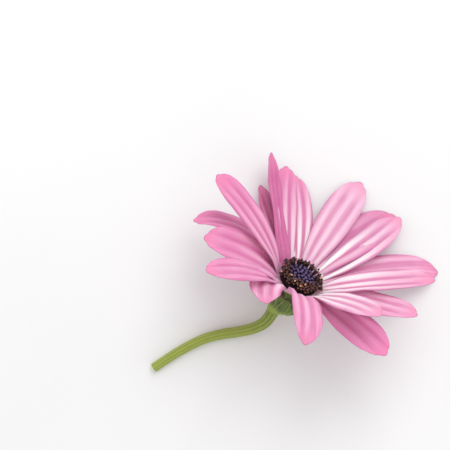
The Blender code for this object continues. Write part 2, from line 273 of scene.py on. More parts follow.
class Shape:
    """Points, faces and point channels of one piece while it is put together."""

    def __init__(self):
        self.points = []
        self.faces = []
        self.channels = {}
        self.total = 0

    def add(self, points, faces, **channels):
        points = np.asarray(points, float).reshape(-1, 3)
        for name in set(channels) | set(self.channels):
            values = np.broadcast_to(channels.get(name, 0.0), len(points))
            self.channels.setdefault(name, [np.zeros(self.total)]).append(values)
        self.points.append(points)
        self.faces.extend(tuple(int(i) + self.total for i in face) for face in faces)
        self.total += len(points)

    def add_rings(self, rings, **channels):
        """Skin rings of points, given as an array of rows, and close both ends with a fan."""
        rings = np.asarray(rings)
        rows, sides = rings.shape[:2]
        points = np.concatenate([rings.reshape(-1, 3), [rings[0].mean(0), rings[-1].mean(0)]])
        faces = []
        for i in range(rows - 1):
            for j in range(sides):
                k = (j + 1) % sides
                faces.append((i * sides + j, i * sides + k, (i + 1) * sides + k, (i + 1) * sides + j))
        foot, top = rows * sides, rows * sides + 1
        for j in range(sides):
            k = (j + 1) % sides
            faces.append((foot, k, j))
            faces.append((top, (rows - 1) * sides + j, (rows - 1) * sides + k))
        spread = {}
        for name, values in channels.items():
            values = np.broadcast_to(values, (rows, sides)) if np.ndim(values) != 1 else (
                np.repeat(values, sides).reshape(rows, sides))
            spread[name] = np.concatenate([values.ravel(), [values[0, 0], values[-1, 0]]])
        self.add(points, faces, **spread)

    def add_blade(self, upper, lower, **channels):
        """Skin two grids of points that share their layout, with a rounded edge between them."""
        rows, columns = upper.shape[:2]
        count = rows * columns
        index = np.arange(count).reshape(rows, columns)
        edge = np.concatenate([index[0, :-1], index[:-1, -1], index[-1, :0:-1], index[:0:-1, 0]])
        inner = index[np.clip(edge // columns, 1, rows - 2), np.clip(edge % columns, 1, columns - 2)]
        above, below = upper.reshape(-1, 3), lower.reshape(-1, 3)
        middle = (above + below) / 2
        half = np.linalg.norm(above[edge] - below[edge], axis=1, keepdims=True) / 2
        bulge = middle[edge] + unit(middle[edge] - middle[inner]) * half * 0.8
        faces = []
        for i in range(rows - 1):
            for j in range(columns - 1):
                quad = (index[i, j], index[i, j + 1], index[i + 1, j + 1], index[i + 1, j])
                faces.append(quad)
                faces.append(tuple(k + count for k in reversed(quad)))
        loop = len(edge)
        for k in range(loop):
            n = (k + 1) % loop
            faces.append((edge[n], edge[k], 2 * count + k, 2 * count + n))
            faces.append((2 * count + n, 2 * count + k, edge[k] + count, edge[n] + count))
        spread = {}
        for name, values in channels.items():
            values = np.broadcast_to(values, (rows, columns)).ravel()
            spread[name] = np.concatenate([values, values, values[edge]])
        spread["inner"] = np.concatenate([np.ones(count), np.zeros(count), np.full(loop, 0.5)])
        self.add(np.concatenate([above, below, bulge]), faces, **spread)

    def piece(self, name, material, node, slot):
        """Make the object, with its faces turned outward, riding in place of its CAD node."""
        mesh = bpy.data.meshes.new(name)
        mesh.from_pydata(np.concatenate(self.points).tolist(), [], self.faces)
        work = bmesh.new()
        work.from_mesh(mesh)
        bmesh.ops.recalc_face_normals(work, faces=work.faces)
        work.to_mesh(mesh)
        work.free()
        mesh.shade_smooth()
        for channel, parts in self.channels.items():
            attribute = mesh.attributes.new(channel, "FLOAT", "POINT")
            attribute.data.foreach_set("value", np.concatenate(parts).astype(np.float32))
        mesh.materials.append(material)
        thing = bpy.data.objects.new(name, mesh)
        bpy.context.scene.collection.objects.link(thing)
        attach(thing, BODY)
        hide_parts(node)
        return thing


class Number:
    """A socket that stands in Python arithmetic and adds the Math nodes that it needs."""

    def __init__(self, finish, socket):
        self.finish = finish
        self.socket = socket

    def math(self, operation, *values):
        return self.finish.node("ShaderNodeMath", {"operation": operation},
                                dict(enumerate(values)))

    def __add__(self, other):
        return self.math("ADD", self, other)

    def __sub__(self, other):
        return self.math("SUBTRACT", self, other)

    def __rsub__(self, other):
        return self.math("SUBTRACT", other, self)

    def __mul__(self, other):
        return self.math("MULTIPLY", self, other)

    def __truediv__(self, other):
        return self.math("DIVIDE", self, other)

    def __pow__(self, other):
        return self.math("POWER", self, other)

    def __abs__(self):
        return self.math("ABSOLUTE", self)

    __radd__ = __add__
    __rmul__ = __mul__

    def cosine(self):
        return self.math("COSINE", self)

    def clamped(self):
        return self.math("MINIMUM", self.math("MAXIMUM", self, 0.0), 1.0)

    def rise(self, start, end):
        """0 up to start and 1 from end on, smooth between them. It falls where end is less."""
        low, high = min(start, end), max(start, end)
        risen = self.finish.node("ShaderNodeMapRange", {"interpolation_type": "SMOOTHSTEP"},
                                 {"Value": self, "From Min": low, "From Max": high})
        return risen if start < end else 1 - risen


class Finish:
    """A material whose node tree is written as expressions."""

    def __init__(self, name):
        self.material = bpy.data.materials.new(name)
        self.material.use_nodes = True
        self.tree = self.material.node_tree
        self.tree.nodes.clear()

    def node(self, kind, settings=None, sockets=None, output=0):
        """Add a node: its settings first, then its sockets' values or links."""
        made = self.tree.nodes.new(kind)
        for name, value in (settings or {}).items():
            setattr(made, name, value)
        for name, value in (sockets or {}).items():
            self.fill(made.inputs[name], value)
        return Number(self, made.outputs[output]) if made.outputs else None

    def fill(self, socket, value):
        if isinstance(value, Number):
            self.tree.links.new(value.socket, socket)
        elif socket.type == "RGBA" and len(value) == 3:
            socket.default_value = (*value, 1.0)
        else:
            socket.default_value = value

    def channel(self, name):
        return self.node("ShaderNodeAttribute", {"attribute_name": name}, output="Fac")

    def vector(self, x, y, z):
        return self.node("ShaderNodeCombineXYZ", None, {"X": x, "Y": y, "Z": z})

    def place(self, scale):
        """The point's place in the object, with one unit to each scale metres."""
        coordinates = self.node("ShaderNodeTexCoord", output="Object")
        return self.node("ShaderNodeVectorMath", {"operation": "SCALE"},
                         {0: coordinates, "Scale": 1 / scale})

    def noise(self, vector, scale=1.0, detail=2.0, roughness=0.5):
        return self.node("ShaderNodeTexNoise", None, {"Vector": vector, "Scale": scale,
                                                      "Detail": detail, "Roughness": roughness})

    def blend(self, first, second, amount):
        """The first colour where amount is 0 and the second where it is 1."""
        made = self.node("ShaderNodeMix", {"data_type": "RGBA", "clamp_factor": True},
                         {0: amount, 6: first, 7: second}, output=2)
        return made

    def bump(self, height, distance, strength=1.0):
        return self.node("ShaderNodeBump", None, {"Height": height, "Distance": distance,
                                                  "Strength": strength})

    def surface(self, **sockets):
        """Finish with a Principled shader, its socket names written with underscores."""
        named = {name.replace("_", " "): value for name, value in sockets.items()}
        shader = self.node("ShaderNodeBsdfPrincipled", None, named)
        self.node("ShaderNodeOutputMaterial", None, {"Surface": shader})
        return self.material


def ray_finish(rays):
    """Pink that pales to white on the ridges, partly their own paleness and partly painted highlight,
    with painted shade in the grooves and on deep florets, fine veins, a flushed tip and a dull rim.
    """
    finish = Finish("ray_floret")
    along, across, rim = (finish.channel(name) for name in ("along", "across", "rim"))
    depth, white, own = (finish.channel(name) for name in ("depth", "white", "own"))
    inner = finish.channel("inner")
    wander = finish.noise(finish.vector(along * 2.2, own * 9, own), 1.0, 1.0) - 0.5
    ridge = ((across + wander * 0.12) * (3 * math.pi)).cosine() * 0.5 + 0.5
    streak = finish.noise(finish.vector(across * 7, along * 1.1, own * 20), 1.0, 2.0)
    fine = finish.noise(finish.vector(across * 26, along * 2.2, own * 31), 1.0, 2.0)
    patch = finish.noise(finish.place(6 * MM), 1.0, 2.0)
    # Depth adds the floret's own pink and painted shade; the ridges are made a little paler as painted
    # highlight
    tone_and_shade = depth + (streak - 0.5) * 0.7 + (patch - 0.5) * 0.4 - ridge * 0.08
    colour = finish.blend(rays.pale, rays.middle, tone_and_shade.rise(0.0, 0.6))
    colour = finish.blend(colour, rays.deep, tone_and_shade.rise(0.5, 1.15) * 0.8)
    # Painted shade in the long grooves; the fine veins added with it are the florets' own
    groove_shade = (1 - ridge) * along.rise(0.02, 0.2) * along.rise(0.98, 0.75)
    colour = finish.blend(colour, rays.vein, groove_shade * 0.55 + fine.rise(0.52, 0.75) * 0.35)
    # White on the ridges near the foot: partly the florets' own paleness, partly painted highlight on the
    # lit ridges
    pale_and_highlight = white * along.rise(0.95, 0.25) * (ridge * 0.75 + streak * 0.5).rise(0.35, 0.85)
    colour = finish.blend(colour, rays.white, pale_and_highlight)
    colour = finish.blend(colour, rays.tip, along.rise(0.80, 0.99) * 0.55)
    colour = finish.blend(rays.back, colour, inner.rise(0.1, 0.6) * 0.8 + 0.2)
    colour = finish.blend(colour, rays.rim, rim.rise(0.30 * MM, 0.02 * MM) * 0.55)
    cells = finish.noise(finish.vector(across * 60, along * 30, own * 5), 1.0, 1.0)
    relief = fine * 0.7 + cells * 0.3
    return finish.surface(Base_Color=colour, Roughness=0.42 + fine * 0.2,
                          Normal=finish.bump(relief, 0.05 * MM, 0.6),
                          Subsurface_Weight=0.45, Subsurface_Radius=(1.0, 0.45, 0.7),
                          Subsurface_Scale=0.5 * MM, Sheen_Weight=0.15, Sheen_Roughness=0.4,
                          Specular_IOR_Level=0.35)


def floret_line(floret, head, rays, steps=160):
    """Points, sides and normals at even shares down the middle of a ray floret."""
    along = np.linspace(0, 1, steps + 1)
    climb = np.radians(floret.rise + floret.droop * along)[:, None]
    turn = np.radians(floret.turn + floret.sway * along)
    out = head.radial(turn)
    ahead = out * np.cos(climb) + head.axis * np.sin(climb)
    strides = (ahead[1:] + ahead[:-1]) * floret.length * MM / steps / 2
    start = head.place(rays.ring, math.radians(floret.turn), 0.0)
    points = start + np.concatenate([np.zeros((1, 3)), np.cumsum(strides, axis=0)])
    side = np.cross(head.axis, out)
    side = unit(side - ahead * np.sum(side * ahead, axis=1, keepdims=True))
    normal = np.cross(ahead, side)
    roll = (math.radians(floret.twist) * smooth(along / 0.5))[:, None]
    return (along, points, side * np.cos(roll) + normal * np.sin(roll),
            normal * np.cos(roll) - side * np.sin(roll))


def read_line(along, values, where):
    return np.stack([np.interp(where, along, values[:, k]) for k in range(3)], axis=-1)


def floret_outline(floret, rays, across, draw):
    """The share of the length at which each column ends, with teeth and a little unevenness."""
    past = (1 - np.abs(across) ** (1 / 0.62)) ** (1 / floret.full)
    end = rays.widest + (1 - rays.widest) * past
    depth = rays.notch * draw.uniform(0.5, 1.3) / (floret.length * MM)
    lean = draw.uniform(-0.08, 0.08)
    for notch in (-0.3, 0.3):
        end -= depth * np.exp(-((across - notch - lean) / 0.10) ** 2)
    return end


def floret_spread(along, rays, foot):
    """Half width by share of the length, before the tip closes it."""
    grow = np.sin(np.clip(along / rays.widest, 0, 1) * math.pi / 2) ** 1.15
    return foot + (1 - foot) * grow


def lift_off_floor(points, room):
    """Let what would sink into the floor bend along it instead, with room below it."""
    bend = 0.25 * MM
    above = points[..., 2] - room
    points[..., 2] = room + (above + np.sqrt(above ** 2 + bend ** 2)) / 2
    return points


def ray_floret(index, floret, head, rays, material):
    """One strap with a trough at its foot, long grooves, fine ridges and waving edges."""
    draw = random.Random(100 + index)
    across = np.sin(np.linspace(-math.pi / 2, math.pi / 2, rays.columns + 1))
    end = floret_outline(floret, rays, across, draw)
    start = -rays.root / (floret.length * MM)
    row = 1 - (1 - np.linspace(0, 1, rays.rows + 1)) ** 1.25
    along = start + row[:, None] * (end - start)
    across = np.broadcast_to(across, along.shape)
    line, points, sides, normals = floret_line(floret, head, rays)
    middle = read_line(line, points, along)
    side = read_line(line, sides, along)
    normal = read_line(line, normals, along)
    inward = head.radial(math.radians(floret.turn))
    middle = middle + inward * (np.minimum(along, 0) * floret.length * MM)[..., None]
    half = floret.width * MM / 2
    spread = floret_spread(along, rays, floret.foot)
    fade = smooth(along / 0.2) * smooth((1.02 - along) / 0.25)
    trough = rays.channel * (1 - 0.8 * smooth(along / 0.6)) + floret.cup * smooth(along / 0.5)
    lift = trough * half * spread * across ** 2 * smooth(along / 0.2)
    lift = lift + rays.groove * np.cos(3 * math.pi * across) * fade
    lift = lift + rays.ridge * np.cos(11 * math.pi * across + draw.uniform(-1, 1)) * fade
    for turns in (1.1, 2.3, 3.7):
        phase, slant = draw.uniform(0, 2 * math.pi), draw.uniform(-1.5, 1.5)
        wave = np.sin(2 * math.pi * turns * along + phase + slant * across)
        lift = lift + rays.wave / turns * wave * np.abs(across) ** 2 * smooth(along / 0.4)
    lift = lift - floret.curl * MM * np.clip((along - 0.78) / 0.22, 0, 1) ** 2
    middle = middle + side * (half * spread * across)[..., None] + normal * lift[..., None]
    edge = np.minimum((1 - np.abs(across)) * half * spread, (end - along) * floret.length * MM)
    edge = np.maximum(edge, 0)
    thick = rays.margin + (rays.thickness - rays.margin) * smooth(edge / (1.2 * MM))
    middle = lift_off_floor(middle, rays.thickness / 2)
    offset = normal * (thick / 2)[..., None]
    shape = Shape()
    shape.add_blade(middle + offset, middle - offset, along=along, across=across, rim=edge,
                    depth=floret.depth, white=floret.white, own=draw.random())
    return shape.piece(f"ray_floret_{index + 1:02d}", material, "ray_florets", "ray_florets")


def seat_finish(cup):
    finish = Finish("ray_seat")
    grain = finish.noise(finish.place(0.8 * MM), 1.0, 3.0)
    colour = finish.blend(cup.light, cup.flush, grain.rise(0.3, 0.8))
    return finish.surface(Base_Color=colour, Roughness=0.6, Subsurface_Weight=0.2,
                          Subsurface_Radius=(1.0, 0.6, 0.4), Subsurface_Scale=0.5 * MM)


def ray_seat(head, rays, cup, disc):
    """The rim of the receptacle, scalloped where each ray floret stands on it."""
    sides = 180
    turn = np.linspace(0, 2 * math.pi, sides, endpoint=False)
    scallop = 0.08 * MM * np.cos(len(RAY_FLORETS) * turn)
    outline = ((4.2, -1.5), (5.0, -1.2), (5.4, -0.8), (5.45, -0.35), (5.2, 0.1), (4.8, 0.35),
               (4.2, 0.6))
    rings = [head.place(radius * MM + scallop, turn, height * MM) for radius, height in outline]
    shape = Shape()
    shape.add_rings(rings)
    return shape.piece("ray_seat", seat_finish(cup), "ray_florets", "ray_florets")


def dome_height(radius, disc):
    return disc.foot + disc.rim + disc.crown * np.sqrt(1 - (radius / disc.radius) ** 2)


DiscFloret = namedtuple("DiscFloret", "foot across out up spin radius height opened distance")


def disc_places(head, disc):
    """The seeded spiral of disc florets: buds near the middle, open ones round the rim."""
    draw = random.Random(7)
    florets = []
    for k in range(disc.florets):
        distance = math.sqrt((k + 0.5) / disc.florets)
        turn = k * GOLDEN_ANGLE
        opened = distance > disc.open_from
        radius = (disc.open_radius if opened else disc.bud_radius) * draw.uniform(0.92, 1.08)
        height = (disc.open_height if opened else disc.bud_height) * draw.uniform(0.85, 1.1)
        lean = disc.lean * distance ** 2 * draw.uniform(0.85, 1.05)
        reach = disc.spread * distance
        foot = head.place(reach, turn, dome_height(reach, disc))
        out = head.radial(turn)
        up = head.axis * math.cos(lean) + out * math.sin(lean)
        across = unit(np.cross(head.axis, out))
        florets.append(DiscFloret(foot, across, np.cross(across, up), up,
                                  draw.uniform(0, 2 * math.pi), radius, height, opened, distance))
    return florets


def floret_rings(floret, profile, sides, lobes=5):
    """Rings up a disc floret from rows of height, girth and depth of its lobes."""
    turn = np.linspace(0, 2 * math.pi, sides, endpoint=False)
    rings = []
    for height, girth, lobing in profile:
        radius = floret.radius * girth * (1 + lobing * np.cos(lobes * turn))
        middle = floret.foot + floret.up * height
        around = (np.multiply.outer(np.cos(turn + floret.spin), floret.across)
                  + np.multiply.outer(np.sin(turn + floret.spin), floret.out))
        rings.append(middle + around * radius[:, None])
    return np.array(rings)


def add_bud(shape, floret, disc, draw):
    """A closed floret, its five lobes folded together to a blunt point."""
    h = floret.height
    profile = [(-disc.sink * 0.6, 0.7, 0.0), (0.0, 0.78, 0.02), (h * 0.3, 0.92, 0.05),
               (h * 0.6, 1.06, 0.08), (h * 0.82, 1.0, 0.11), (h * 0.95, 0.78, 0.15),
               (h * 1.04, 0.45, 0.22), (h * 1.03, 0.16, 0.25)]
    rings = floret_rings(floret, profile, 20)
    rise = np.array([row[0] for row in profile]) / h
    shape.add_rings(rings, rise=rise, own=draw.random())


def add_lobe(shape, floret, mouth, turn, width, length, own):
    """A small pointed lobe that bends outward and down from an open floret's mouth."""
    out = floret.across * math.cos(turn) + floret.out * math.sin(turn)
    side = np.cross(floret.up, out)
    share = np.linspace(0, 1, 6)
    across = np.linspace(-1, 1, 5)
    bend = 0.3 + 2.1 * share
    step = length / 5
    reach = np.cumsum(np.sin(bend)) * step
    climb = np.cumsum(np.cos(bend)) * step
    half = width / 2 * (1 - share ** 2.2) + 0.03 * MM
    base = mouth + out * floret.radius * 0.9
    middle = (base + out * reach[:, None, None] + floret.up * climb[:, None, None]
              + side * (half[:, None] * across)[..., None])
    normal = (floret.up * np.sin(bend)[:, None] - out * np.cos(bend)[:, None])[:, None]
    middle = middle + normal * (0.25 * half[:, None] * across ** 2)[..., None]
    shape.add_blade(middle + normal * 0.04 * MM, middle - normal * 0.04 * MM,
                    rise=np.broadcast_to(1.0 + share[:, None], (6, 5)), own=own)


def add_open_floret(shape, floret, disc, draw):
    """A flared tube with five lobes bent outward and a column standing in it."""
    h = floret.height
    own = draw.random()
    tube = [(-disc.sink * 0.7, 0.62, 0.0), (0.0, 0.66, 0.0), (h * 0.25, 0.74, 0.03),
            (h * 0.45, 0.90, 0.05), (h * 0.58, 1.05, 0.07), (h * 0.64, 1.06, 0.08),
            (h * 0.62, 0.86, 0.06), (h * 0.45, 0.60, 0.0)]
    rings = floret_rings(floret, tube, 20)
    rise = np.array([row[0] for row in tube]) / h
    shape.add_rings(rings, rise=rise, own=own)
    mouth = floret.foot + floret.up * (h * 0.62)
    for k in range(5):
        turn = floret.spin + 2 * math.pi * k / 5 + draw.uniform(-0.1, 0.1)
        add_lobe(shape, floret, mouth, turn, floret.radius * 1.05,
                 floret.radius * draw.uniform(0.95, 1.25), own)
    column = [(h * 0.3, 0.40, 0.0), (h * 0.6, 0.44, 0.03), (h * 0.85, 0.50, 0.04),
              (h * 0.95, 0.46, 0.06), (h * 1.0, 0.26, 0.1)]
    rise = 2.0 + np.array([row[0] for row in column]) / h
    shape.add_rings(floret_rings(floret, column, 15), rise=rise, own=own)


def add_pollen(shape, floret, draw):
    """A clump of grains on the top of an open floret's column."""
    top = floret.foot + floret.up * floret.height * 0.97
    for _ in range(26):
        away = np.array([draw.gauss(0, 1) for _ in range(3)])
        away = away / np.linalg.norm(away)
        away = away + floret.up * max(-2 * float(away @ floret.up), 0)
        middle = top + away * draw.uniform(0.12, 0.24) * MM
        grain = bmesh.new()
        bmesh.ops.create_icosphere(grain, subdivisions=1, radius=draw.uniform(0.055, 0.085) * MM)
        points = [np.array(v.co) + middle for v in grain.verts]
        faces = [[v.index for v in face.verts] for face in grain.faces]
        shape.add(points, faces, own=draw.random())
        grain.free()


def dome_finish(disc):
    finish = Finish("disc_dome")
    grain = finish.noise(finish.place(0.35 * MM), 1.0, 3.0)
    colour = finish.blend(disc.dome, disc.tube, grain.rise(0.4, 0.8))
    return finish.surface(Base_Color=colour, Roughness=0.75, Specular_IOR_Level=0.2,
                          Normal=finish.bump(grain, 0.08 * MM))


def bud_finish(disc):
    """Violet black, with a painted sheen highlight on the folded lobes at the top."""
    finish = Finish("disc_buds")
    rise, own = finish.channel("rise"), finish.channel("own")
    grain = finish.noise(finish.place(0.18 * MM), 1.0, 2.0)
    colour = finish.blend(disc.tube, disc.bud, rise.rise(0.0, 0.5))
    # Painted sheen highlight on the tops of the closed florets
    colour = finish.blend(colour, disc.bud_sheen, rise.rise(0.55, 1.0) * (own * 0.7 + grain * 0.4))
    return finish.surface(Base_Color=colour, Roughness=0.38 + grain * 0.2,
                          Normal=finish.bump(grain, 0.03 * MM), Specular_IOR_Level=0.45)


def open_finish(disc):
    """Brown black tubes with paler brown lobes, and dark columns with a dusting on top."""
    finish = Finish("disc_open")
    rise, own = finish.channel("rise"), finish.channel("own")
    grain = finish.noise(finish.place(0.15 * MM), 1.0, 2.0)
    lobes = rise.rise(0.9, 1.5) * rise.rise(2.15, 2.05)
    colour = finish.blend(disc.dome, disc.tube, rise.rise(0.0, 0.5))
    colour = finish.blend(colour, disc.lobe, lobes * (own * 0.6 + 0.4))
    tops = rise.rise(2.80, 3.0)
    colour = finish.blend(colour, disc.bud, rise.rise(2.1, 2.2) * 0.7)
    colour = finish.blend(colour, disc.pollen, tops * grain.rise(0.5, 0.75) * 0.5)
    return finish.surface(Base_Color=colour, Roughness=0.5 + grain * 0.2,
                          Normal=finish.bump(grain, 0.03 * MM), Specular_IOR_Level=0.4)


def pollen_finish(disc):
    finish = Finish("disc_pollen")
    own = finish.channel("own")
    colour = finish.blend(disc.pollen, linear(236, 160, 90), own.rise(0.4, 1.0) * 0.6)
    grain = finish.noise(finish.place(0.03 * MM), 1.0, 1.0)
    return finish.surface(Base_Color=colour, Roughness=0.8,
                          Normal=finish.bump(grain, 0.01 * MM), Subsurface_Weight=0.2,
                          Subsurface_Radius=(1.0, 0.6, 0.3), Subsurface_Scale=0.1 * MM)


def cup_radius(height):
    """The cup's radius at heights along its axis, smoothly through the profile's points."""
    heights = np.array([row[0] for row in CUP_PROFILE])[::-1] * MM
    radii = np.array([row[1] for row in CUP_PROFILE])[::-1] * MM
    blur = np.linspace(-0.5, 0.5, 5) * MM
    return np.mean([np.interp(np.asarray(height) + b, heights, radii) for b in blur], axis=0)


def on_cup(head, cup, radius, turn, height):
    """A point round the cup's axis, which bends to one side towards the stem."""
    top, foot = CUP_PROFILE[1][0] * MM, CUP_PROFILE[-2][0] * MM
    bent = np.maximum((np.asarray(height) - top) / (foot - top), 0) ** 3
    return head.place(radius, turn, height) + head.right * (cup.shift * bent)[..., None]


def cup_finish(cup):
    """Green that lightens to the foot, with darker patches and fine ribs."""
    finish = Finish("involucre")
    rise, keel, own = (finish.channel(name) for name in ("rise", "keel", "own"))
    patch = finish.noise(finish.place(2.2 * MM), 1.0, 3.0)
    grain = finish.noise(finish.place(0.22 * MM), 1.0, 3.0)
    fibre = finish.noise(finish.vector(keel * 9, rise * 2, own * 17), 1.0, 2.0)
    colour = finish.blend(cup.green, cup.dark, patch.rise(0.42, 0.68) * rise.rise(0.05, 0.35))
    colour = finish.blend(colour, cup.light, rise.rise(0.30, 0.0) * 0.8)
    colour = finish.blend(colour, cup.light, fibre.rise(0.5, 0.8) * 0.45)
    colour = finish.blend(colour, cup.light, abs(keel).rise(0.70, 1.0) * 0.75)
    colour = finish.blend(colour, cup.flush, (rise + (patch - 0.5) * 0.4).rise(0.70, 0.95) * 0.85)
    colour = finish.blend(colour, cup.dark, grain.rise(0.58, 0.8) * 0.35)
    return finish.surface(Base_Color=colour, Roughness=0.55 + grain * 0.15,
                          Normal=finish.bump(grain * 0.5 + fibre * 0.5, 0.10 * MM, 0.7),
                          Subsurface_Weight=0.15, Subsurface_Radius=(0.6, 1.0, 0.3),
                          Subsurface_Scale=0.4 * MM, Specular_IOR_Level=0.35)


def involucre_cup(head, cup, material):
    """The cup's own wall, faintly ribbed, closed under the florets and round the stem's top."""
    turn = np.linspace(0, 2 * math.pi, cup.sides, endpoint=False)
    heights = np.linspace(CUP_PROFILE[0][0], CUP_PROFILE[-1][0], cup.rows + 1) * MM
    ribs = 0.06 * MM * np.cos(2 * cup.bracts * turn)
    rings = [on_cup(head, cup, cup_radius(h) + ribs, turn, np.full(cup.sides, h)) for h in heights]
    rise = np.clip((heights - cup.bract_root) / (cup.bract_tip - cup.bract_root), 0, 1)
    shape = Shape()
    shape.add_rings(lift_off_floor(np.array(rings), 0.0), rise=rise * 0.6, keel=0.0, own=0.5)
    return shape.piece("involucre_cup", material, "involucre", "involucre")


def add_bract(shape, index, head, cup, draw, detail):
    """A keeled bract that hugs the cup, its pointed tip standing free."""
    turn = 2 * math.pi * (index + draw.uniform(-0.12, 0.12)) / cup.bracts
    proud = (cup.outer if index % 2 == 0 else cup.inner) * draw.uniform(0.9, 1.1)
    root = cup.bract_root * draw.uniform(0.96, 1.0)
    tip = cup.bract_tip * draw.uniform(1.0, 1.5)
    rows, columns = 30, 12
    share = np.linspace(0, 1, rows + 1)[:, None]
    across = np.linspace(-1, 1, columns + 1)[None, :]
    height = root + (tip - root) * share
    flare = np.maximum((height - cup.flare_from) / (cup.bract_tip - cup.flare_from), 0)
    outer = cup_radius(height) + proud + cup.flare * flare ** 1.3
    half = cup.bract_width / 2 * np.maximum(np.sin(math.pi * (0.12 + 0.88 * share)), 0.03)
    half = half * (1 + 0.05 * np.sin(2 * math.pi * (2.3 * share + detail.random())))
    keel = cup.keel * np.exp(-(across / 0.28) ** 2) * smooth((1 - share) / 0.2)
    groove = -0.05 * MM * np.cos(4 * math.pi * across)
    radius = outer + keel + groove - 0.10 * MM * across ** 2
    thick = cup.thickness * (1 - 0.65 * across ** 2) * (1 - 0.55 * share)
    around = turn + across * half / outer
    height = np.broadcast_to(height, radius.shape)
    upper = on_cup(head, cup, radius, around, height)
    lower = on_cup(head, cup, radius - thick, around, height)
    shape.add_blade(lift_off_floor(upper, 0.0), lift_off_floor(lower, 0.0),
                    rise=share, keel=across, own=detail.random())


def add_hairs(shape, feet, directions, lengths, radius, draw):
    """Fine tapered hairs, each one a three-sided spike with a bend in it."""
    for foot, direction, length in zip(feet, directions, lengths):
        swing = unit(np.array([draw.gauss(0, 1) for _ in range(3)]))
        side = unit(np.cross(direction, swing))
        other = np.cross(direction, side)
        knee = foot + direction * length * 0.5 + side * length * 0.08
        tip = foot + unit(direction + side * 0.35) * length
        ring = [side * math.cos(a) + other * math.sin(a) for a in (0.0, 2.094, 4.189)]
        points = [foot + r * radius for r in ring] + [knee + r * radius * 0.6 for r in ring] + [tip]
        faces = [(2, 1, 0)]
        for j in range(3):
            k = (j + 1) % 3
            faces.append((j, k, 3 + k, 3 + j))
            faces.append((3 + j, 3 + k, 6))
        shape.add(points, faces)


def hair_finish(stem):
    finish = Finish("fine_hairs")
    grain = finish.noise(finish.place(0.6 * MM), 1.0, 2.0)
    colour = finish.blend(stem.hair, stem.light, grain.rise(0.35, 0.8) * 0.5)
    return finish.surface(Base_Color=colour, Roughness=0.5, Subsurface_Weight=0.3,
                          Subsurface_Radius=(1.0, 1.0, 0.8), Subsurface_Scale=0.1 * MM)


def stem_line(head, stem):
    """Points and radii down the stem, read from a smooth curve through its route."""
    route = np.array(STEM_ROUTE) * MM
    ends = np.concatenate([[2 * route[0] - route[1]], route, [2 * route[-1] - route[-2]]])
    line = []
    for a, b, c, d in zip(ends, ends[1:], ends[2:], ends[3:]):
        for k in range(stem.steps):
            t = k / stem.steps
            line.append((2 * b + (c - a) * t + (2 * a - 5 * b + 4 * c - d) * t ** 2
                         + (3 * b - a - 3 * c + d) * t ** 3) / 2)
    line.append(route[-1])
    line = np.array(line)
    return head.centre + line[:, :3], line[:, 3]


def stem_frames(points):
    ahead = unit(np.gradient(points, axis=0))
    side = unit(np.cross(ahead, (0.0, 0.0, 1.0)))
    return ahead, side, np.cross(side, ahead)


def stem_finish(stem):
    """Yellow green with paler ribs, darker towards the cup."""
    finish = Finish("stem")
    along, round_, end = (finish.channel(name) for name in ("along", "round", "end"))
    rib = (round_ * (2 * math.pi * stem.ribs)).cosine() * 0.5 + 0.5
    fibre = finish.noise(finish.vector(rib * 4, along * 60, round_ * 14), 1.0, 2.0)
    patch = finish.noise(finish.place(2.5 * MM), 1.0, 2.0)
    grain = finish.noise(finish.place(0.2 * MM), 1.0, 2.0)
    colour = finish.blend(stem.green, stem.dark, along.rise(0.45, 0.0) * 0.8 + patch.rise(0.5, 0.8) * 0.3)
    colour = finish.blend(colour, stem.light, rib.rise(0.45, 1.0) * 0.5 + fibre.rise(0.5, 0.8) * 0.3)
    colour = finish.blend(colour, linear(214, 216, 160), end * 0.9)
    return finish.surface(Base_Color=colour, Roughness=0.45 + grain * 0.15,
                          Normal=finish.bump(fibre * 0.6 + grain * 0.4, 0.05 * MM, 0.7),
                          Subsurface_Weight=0.3, Subsurface_Radius=(0.8, 1.0, 0.3),
                          Subsurface_Scale=0.6 * MM, Specular_IOR_Level=0.4)


def stem_stalk(head, stem, points, radii):
    """The ribbed stalk, let into the cup at one end and cut across at the other."""
    turn = np.linspace(0, 2 * math.pi, stem.sides, endpoint=False)
    ahead, side, up = stem_frames(points)
    ribs = stem.rib * np.cos(stem.ribs * turn)
    around = side[:, None] * np.cos(turn)[:, None] + up[:, None] * np.sin(turn)[:, None]
    rings = points[:, None] + around * (radii[:, None] + ribs)[..., None]
    cut = [rings[-1].mean(0) + (rings[-1] - rings[-1].mean(0)) * s + ahead[-1] * d * MM
           for s, d in ((0.97, 0.06), (0.80, 0.10), (0.45, 0.05), (0.2, 0.02))]
    rings = np.concatenate([rings, cut])
    along = np.concatenate([np.linspace(0, 1, len(points)), np.ones(4)])
    end = np.concatenate([np.zeros(len(points)), (0.2, 0.7, 1.0, 1.0)])
    rings = lift_off_floor(rings, 0.0)
    sides = np.broadcast_to(turn / (2 * math.pi), rings.shape[:2])
    shape = Shape()
    shape.add_rings(rings, along=along, round=sides, end=end)
    return shape.piece("stem_stalk", stem_finish(stem), "stem", "stem")


def add_lamp(name, place, aim, width, power, tint=(1.0, 1.0, 1.0)):
    lamp = bpy.data.lights.new(name, "AREA")
    lamp.shape = "DISK"
    lamp.size = width
    lamp.energy = power
    lamp.color = tint
    thing = bpy.data.objects.new(name, lamp)
    thing.location = place
    thing.rotation_mode = "QUATERNION"
    thing.rotation_quaternion = (Vector(aim) - Vector(place)).to_track_quat("-Z", "Y")
    bpy.context.scene.collection.objects.link(thing)


def floor_finish(stage):
    finish = Finish("floor")
    cloud = finish.noise(finish.place(90 * MM), 1.0, 2.0)
    dark = tuple(level * 0.97 for level in stage.floor_colour)
    colour = finish.blend(dark, stage.floor_colour, cloud.rise(0.3, 0.7))
    return finish.surface(Base_Color=colour, Roughness=0.9, Specular_IOR_Level=0.1)


